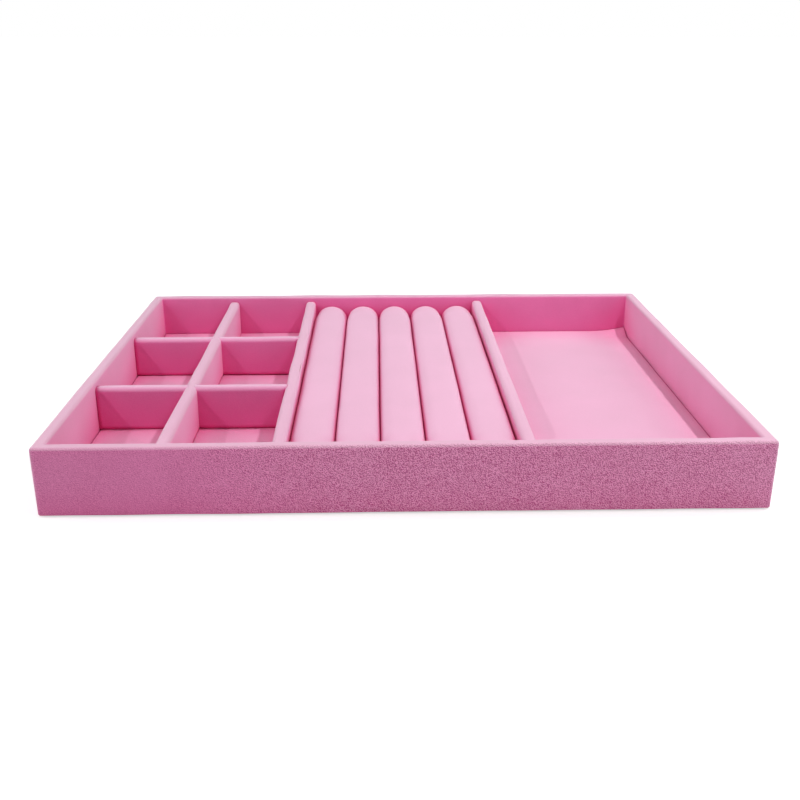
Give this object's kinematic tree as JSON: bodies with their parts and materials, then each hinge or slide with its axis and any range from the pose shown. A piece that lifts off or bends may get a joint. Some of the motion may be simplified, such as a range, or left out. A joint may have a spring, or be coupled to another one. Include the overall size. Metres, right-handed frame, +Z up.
{
  "type": "jewelry tray",
  "caption": "Shallow velvet-covered jewelry tray with a grid of small cells, a bed of padded ring rolls and one open compartment.",
  "frame": {"origin": "middle of the underside, on the surface that the tray stands on", "axes": "+X to the right along the long side, from the cell grid to the open compartment; +Y from the front to the rear; +Z up"},
  "size_m": [0.35, 0.28, 0.0355],
  "materials": {
    "pink_velvet": "short-pile velvet",
    "fibreboard": "raw fibreboard",
    "grey_card": "raw grey card",
    "felt": "thin felt",
    "foam": "open-cell foam"
  },
  "bodies": {
    "tray": {"wall_wrap": "pink_velvet", "floor_velvet": "pink_velvet", "left_partition_velvet": "pink_velvet", "right_partition_velvet": "pink_velvet", "base_board": "fibreboard", "front_wall_board": "fibreboard", "rear_wall_board": "fibreboard", "left_wall_board": "fibreboard", "right_wall_board": "fibreboard", "left_partition_board": "fibreboard", "right_partition_board": "fibreboard", "floor_card": "grey_card", "base_felt": "felt"},
    "cell_grid": {"centre_divider_board": "fibreboard", "centre_divider_velvet": "pink_velvet", "front_cross_board": "fibreboard", "front_cross_velvet": "pink_velvet", "rear_cross_board": "fibreboard", "rear_cross_velvet": "pink_velvet"},
    "ring_roll_1": {"ring_roll_core_1": "foam", "ring_roll_sleeve_1": "pink_velvet"},
    "ring_roll_2": {"ring_roll_core_2": "foam", "ring_roll_sleeve_2": "pink_velvet"},
    "ring_roll_3": {"ring_roll_core_3": "foam", "ring_roll_sleeve_3": "pink_velvet"},
    "ring_roll_4": {"ring_roll_core_4": "foam", "ring_roll_sleeve_4": "pink_velvet"},
    "ring_roll_5": {"ring_roll_core_5": "foam", "ring_roll_sleeve_5": "pink_velvet"}
  },
  "joints": [
    {"name": "cell_grid_lift", "type": "slide", "parent": "tray", "child": "cell_grid", "axis": [0, 0, 1], "range_m": [0, 0.04]},
    {"name": "ring_roll_lift_1", "type": "slide", "parent": "tray", "child": "ring_roll_1", "axis": [0, 0, 1], "range_m": [0, 0.04]},
    {"name": "ring_roll_lift_2", "type": "slide", "parent": "tray", "child": "ring_roll_2", "axis": [0, 0, 1], "range_m": [0, 0.04]},
    {"name": "ring_roll_lift_3", "type": "slide", "parent": "tray", "child": "ring_roll_3", "axis": [0, 0, 1], "range_m": [0, 0.04]},
    {"name": "ring_roll_lift_4", "type": "slide", "parent": "tray", "child": "ring_roll_4", "axis": [0, 0, 1], "range_m": [0, 0.04]},
    {"name": "ring_roll_lift_5", "type": "slide", "parent": "tray", "child": "ring_roll_5", "axis": [0, 0, 1], "range_m": [0, 0.04]}
  ]
}
